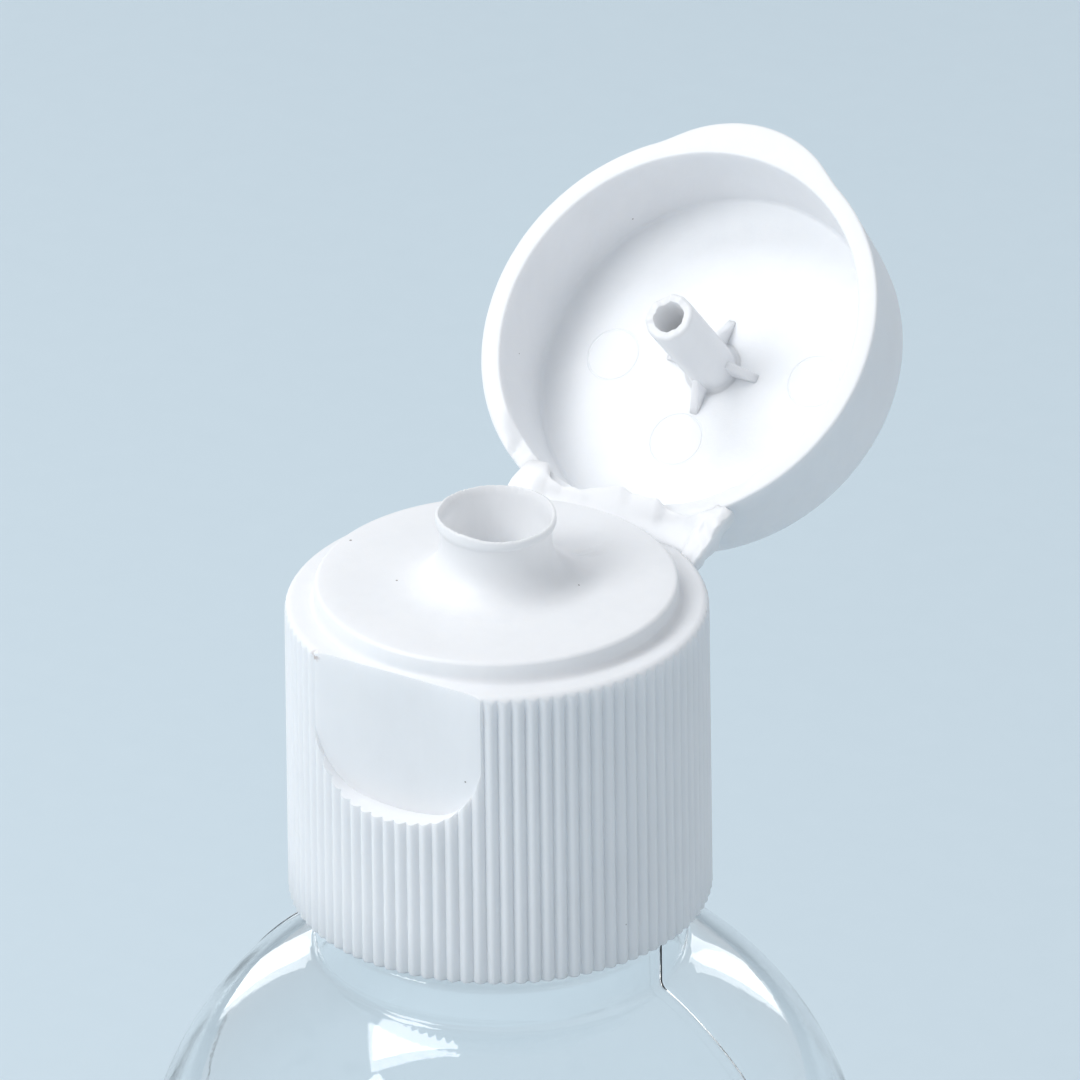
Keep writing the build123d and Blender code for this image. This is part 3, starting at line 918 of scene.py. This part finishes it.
class Finish:
    """A node-based material being put together."""

    def __init__(self, name):
        self.material = bpy.data.materials.new(name)
        self.material.use_nodes = True
        self.tree = self.material.node_tree
        self.tree.nodes.clear()
        self.place = self.node("TexCoord", out="Object")

    def node(self, kind, values=None, out=0, **settings):
        made = self.tree.nodes.new("ShaderNode" + kind)
        for key, value in settings.items():
            setattr(made, key, value)
        for key, value in (values or {}).items():
            if isinstance(value, Wire):
                self.tree.links.new(value.socket, made.inputs[key])
            else:
                made.inputs[key].default_value = value
        return Wire(self, made.outputs[out]) if made.outputs else None

    def noise(self, size, detail=3.0, rough=0.55, place=None):
        """Soft noise whose blotches are about size metres across."""
        values = {"Vector": place or self.place, "Scale": 1 / size, "Detail": detail, "Roughness": rough}
        return self.node("TexNoise", values)

    def ramp(self, value, low, high):
        """0 under low, 1 over high."""
        values = {0: value, 1: low, 2: high, 3: 0.0, 4: 1.0}
        return self.node("MapRange", values, interpolation_type="SMOOTHSTEP")

    def mix(self, share, first, second):
        return self.node("Mix", {0: share, 6: first, 7: second}, out=2, data_type="RGBA")

    def near(self, centre, radius):
        """1 at a place in the frame, fading to 0 at radius."""
        away = self.node("VectorMath", {0: self.place, 1: centre}, out="Value", operation="DISTANCE")
        return 1 - self.ramp(away, radius * 0.3, radius)

    def bump(self, height, depth, strength=1.0):
        values = {"Strength": strength, "Distance": depth, "Height": height}
        return self.node("Bump", values, out="Normal")

    def finish(self, **inputs):
        values = {key.replace("_", " "): value for key, value in inputs.items()}
        shader = self.node("BsdfPrincipled", values)
        self.node("OutputMaterial", {"Surface": shader})
        return self.material


def polypropylene(name, tone=(0.86, 0.875, 0.895, 1), fleck_seed=0.0, marks=()):
    """White moulded polypropylene: faint cloudiness and flow, fine orange peel, a few dark specks."""
    pp = Finish(name)
    shifted = pp.node("Mapping", {"Vector": pp.place, "Location": (fleck_seed, fleck_seed, fleck_seed)})
    cloud = pp.noise(6 * MM, place=shifted)
    flow = pp.node("Mapping", {"Vector": pp.place, "Scale": (1, 1, 0.2)})
    streak = pp.noise(1.1 * MM, detail=4, place=flow)
    tint = pp.ramp(cloud * 0.7 + streak * 0.3, 0.35, 0.65)
    paler = tuple(min(value * 1.03, 0.95) for value in tone[:3]) + (1,)
    colour = pp.mix(tint, tone, paler)
    cells = {"Vector": shifted, "Scale": 1 / speck_cell, "Randomness": 1.0}
    speck_away = pp.node("TexVoronoi", cells, out="Distance", feature="F1")
    speck_kind = pp.node("TexVoronoi", cells, out="Color", feature="F1")
    chosen = pp.node("SeparateColor", {0: speck_kind}, out=0) > 0.72
    size = pp.node("SeparateColor", {0: speck_kind}, out=1) * 0.018 + 0.018
    speck = (speck_away < size) * chosen
    colour = pp.mix(speck * 0.75, colour, (0.16, 0.12, 0.10, 1))
    for centre, radius, strength in marks:
        ragged = pp.ramp(pp.noise(0.35 * MM), 0.42, 0.62)
        stain = pp.near(centre, radius) * ragged * strength
        colour = pp.mix(stain, colour, (0.30, 0.17, 0.12, 1))
    peel = pp.noise(0.28 * MM, detail=2)
    drag = pp.noise(0.9 * MM, detail=5, place=flow)
    rough = 0.36 + pp.noise(1.8 * MM, detail=4) * 0.12 + speck * 0.15
    return pp.finish(
        Base_Color=colour,
        Roughness=rough,
        Normal=pp.bump(peel * 0.5 + drag, 0.03 * MM, 0.55),
        IOR=1.49,
        Subsurface_Weight=0.5,
        Subsurface_Radius=(1.0, 0.95, 0.9),
        Subsurface_Scale=1.4 * MM,
    )


def clear_polyester():
    """Clear blown polyester: clean gloss, faint flow ripple, a little dust haze."""
    pet = Finish("clear_polyester")
    ripple = pet.noise(9 * MM, detail=1)
    fine = pet.noise(0.6 * MM, detail=3)
    haze = pet.ramp(pet.noise(2.4 * MM, detail=5), 0.55, 0.8)
    return pet.finish(
        Base_Color=pet.mix(haze, (0.975, 0.99, 0.995, 1), (0.93, 0.955, 0.965, 1)),
        Roughness=0.015 + haze * 0.05,
        Normal=pet.bump(ripple + fine * 0.02, 0.25 * MM, 0.35),
        IOR=1.57,
        Transmission_Weight=1.0,
    )


def closed_cell_foam():
    """Soft white polyethylene foam of the liner, with small closed cells."""
    foam = Finish("liner_foam")
    spread = {"Vector": foam.place, "Scale": 1 / foam_cell}
    cells = foam.node("TexVoronoi", spread, out="Distance", feature="F1")
    cloud = foam.noise(2 * MM)
    return foam.finish(
        Base_Color=foam.mix(cloud, (0.88, 0.88, 0.86, 1), (0.94, 0.94, 0.93, 1)),
        Roughness=0.6 + cells * 0.15,
        Normal=foam.bump(cells, 0.05 * MM, 0.8),
    )


def paint(piece, material):
    piece.data.materials.clear()
    piece.data.materials.append(material)


# ================================================================ putting it together

closure = make_closure()
cap_thread = make_cap_thread()
lid = make_lid()
pin = make_pin()
hinge = make_hinge()
shell = make_bottle()
liner = frame["nodes"]["sealing_liner"]

corner_mark = (Vector((-6.2, -12.1, 0)) * MM + Vector((0, 0, ledge - 0.3 * MM)), 0.6 * MM, 0.5)
white = polypropylene("white_polypropylene", marks=[corner_mark])
paint(closure, white)
paint(cap_thread, white)
paint(lid, polypropylene("lid_polypropylene", fleck_seed=0.5))
paint(pin, polypropylene("pin_polypropylene", fleck_seed=0.9))
paint(hinge, polypropylene("hinge_polypropylene", tone=(0.89, 0.90, 0.92, 1), fleck_seed=1.7))
paint(shell, clear_polyester())
paint(liner, closed_cell_foam())

for piece in (closure, cap_thread):
    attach(piece, "closure")
for piece in (lid, pin):
    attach(piece, "lid")
hinge_y - 0.9 * MM
hinge_z - 0.5 * MM
hinge_y + 0.5 * MM
hinge_z + 0.8 * MM
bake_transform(hinge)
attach(shell, "bottle")


# ================================================================ floor, light and camera

def make_stage():
    nothing_selected()
    bpy.ops.mesh.primitive_plane_add(size=6, location=(0, 0, 0))
    floor = bpy.context.object
    floor.name = "floor"
    paper = Finish("pale_floor")
    fibre = paper.noise(3 * MM, detail=4)
    colour = paper.mix(fibre, (0.64, 0.76, 0.83, 1), (0.66, 0.78, 0.85, 1))
    paint(floor, paper.finish(Base_Color=colour, Roughness=0.85))


def area_light(name, azimuth, elevation, distance, size, power, colour=(1, 1, 1)):
    """A softbox aimed at the closure; azimuth is measured from -Y towards +X."""
    across, up = radians(azimuth), radians(elevation)
    target = Vector((0, 0, ledge))
    away = Vector((sin(across) * cos(up), -cos(across) * cos(up), sin(up)))
    lamp = bpy.data.lights.new(name, "AREA")
    lamp.shape = "RECTANGLE"
    lamp.size, lamp.size_y = size
    lamp.energy = power
    lamp.color = colour
    light = bpy.data.objects.new(name, lamp)
    bpy.context.scene.collection.objects.link(light)
    light.location = target + away * distance
    light.rotation_euler = away.to_track_quat("Z", "Y").to_euler()


def make_lights():
    area_light("key", -32, 40, 0.60, (0.24, 0.30), 1.6)
    area_light("window", -72, 66, 0.60, (0.18, 0.27), 0.9)
    area_light("left_panel", -120, 4, 0.50, (0.08, 0.20), 0.12)
    area_light("right_panel", 180, 8, 0.50, (0.08, 0.20), 0.12)
    area_light("fill", 95, 25, 0.80, (0.4, 0.4), 0.10, (0.80, 0.92, 1.0))
    world = bpy.data.worlds.new("studio")
    bpy.context.scene.world = world
    world.use_nodes = True
    sky = world.node_tree.nodes["Background"].inputs
    sky["Color"].default_value = (0.92, 0.95, 1.0, 1)
    sky["Strength"].default_value = 0.54


def make_camera():
    """A long lens in front of the closure, a little to its right and above, tilted by under a degree."""
    distance, elevation, azimuth = 0.7705, radians(28.35), radians(32.147)
    pan, tilt, roll = radians(0.21), radians(0.98), radians(-0.75)
    aim = Vector((0, 0, foot + 10 * MM))
    back = Vector((sin(azimuth) * cos(elevation), -cos(azimuth) * cos(elevation), sin(elevation)))
    right = Vector((cos(azimuth), sin(azimuth), 0))
    up = right.cross(-back)
    ahead = (-back + right * tan(pan) + up * tan(tilt)).normalized()
    right = ahead.cross(up).normalized()
    up = right.cross(ahead)
    tilted_right = right * cos(roll) + up * sin(roll)
    tilted_up = up * cos(roll) - right * sin(roll)
    lens = bpy.data.cameras.new("camera")
    lens.sensor_width = 36
    lens.lens = 399.5
    lens.clip_start = 0.05
    lens.clip_end = 20
    camera = bpy.data.objects.new("camera", lens)
    bpy.context.scene.collection.objects.link(camera)
    axes = Matrix((tilted_right, tilted_up, -ahead)).transposed().to_4x4()
    camera.matrix_world = Matrix.Translation(aim + back * distance) @ axes
    bpy.context.scene.camera = camera


make_stage()
make_lights()
make_camera()
bpy.context.scene.view_settings.view_transform = "Standard"
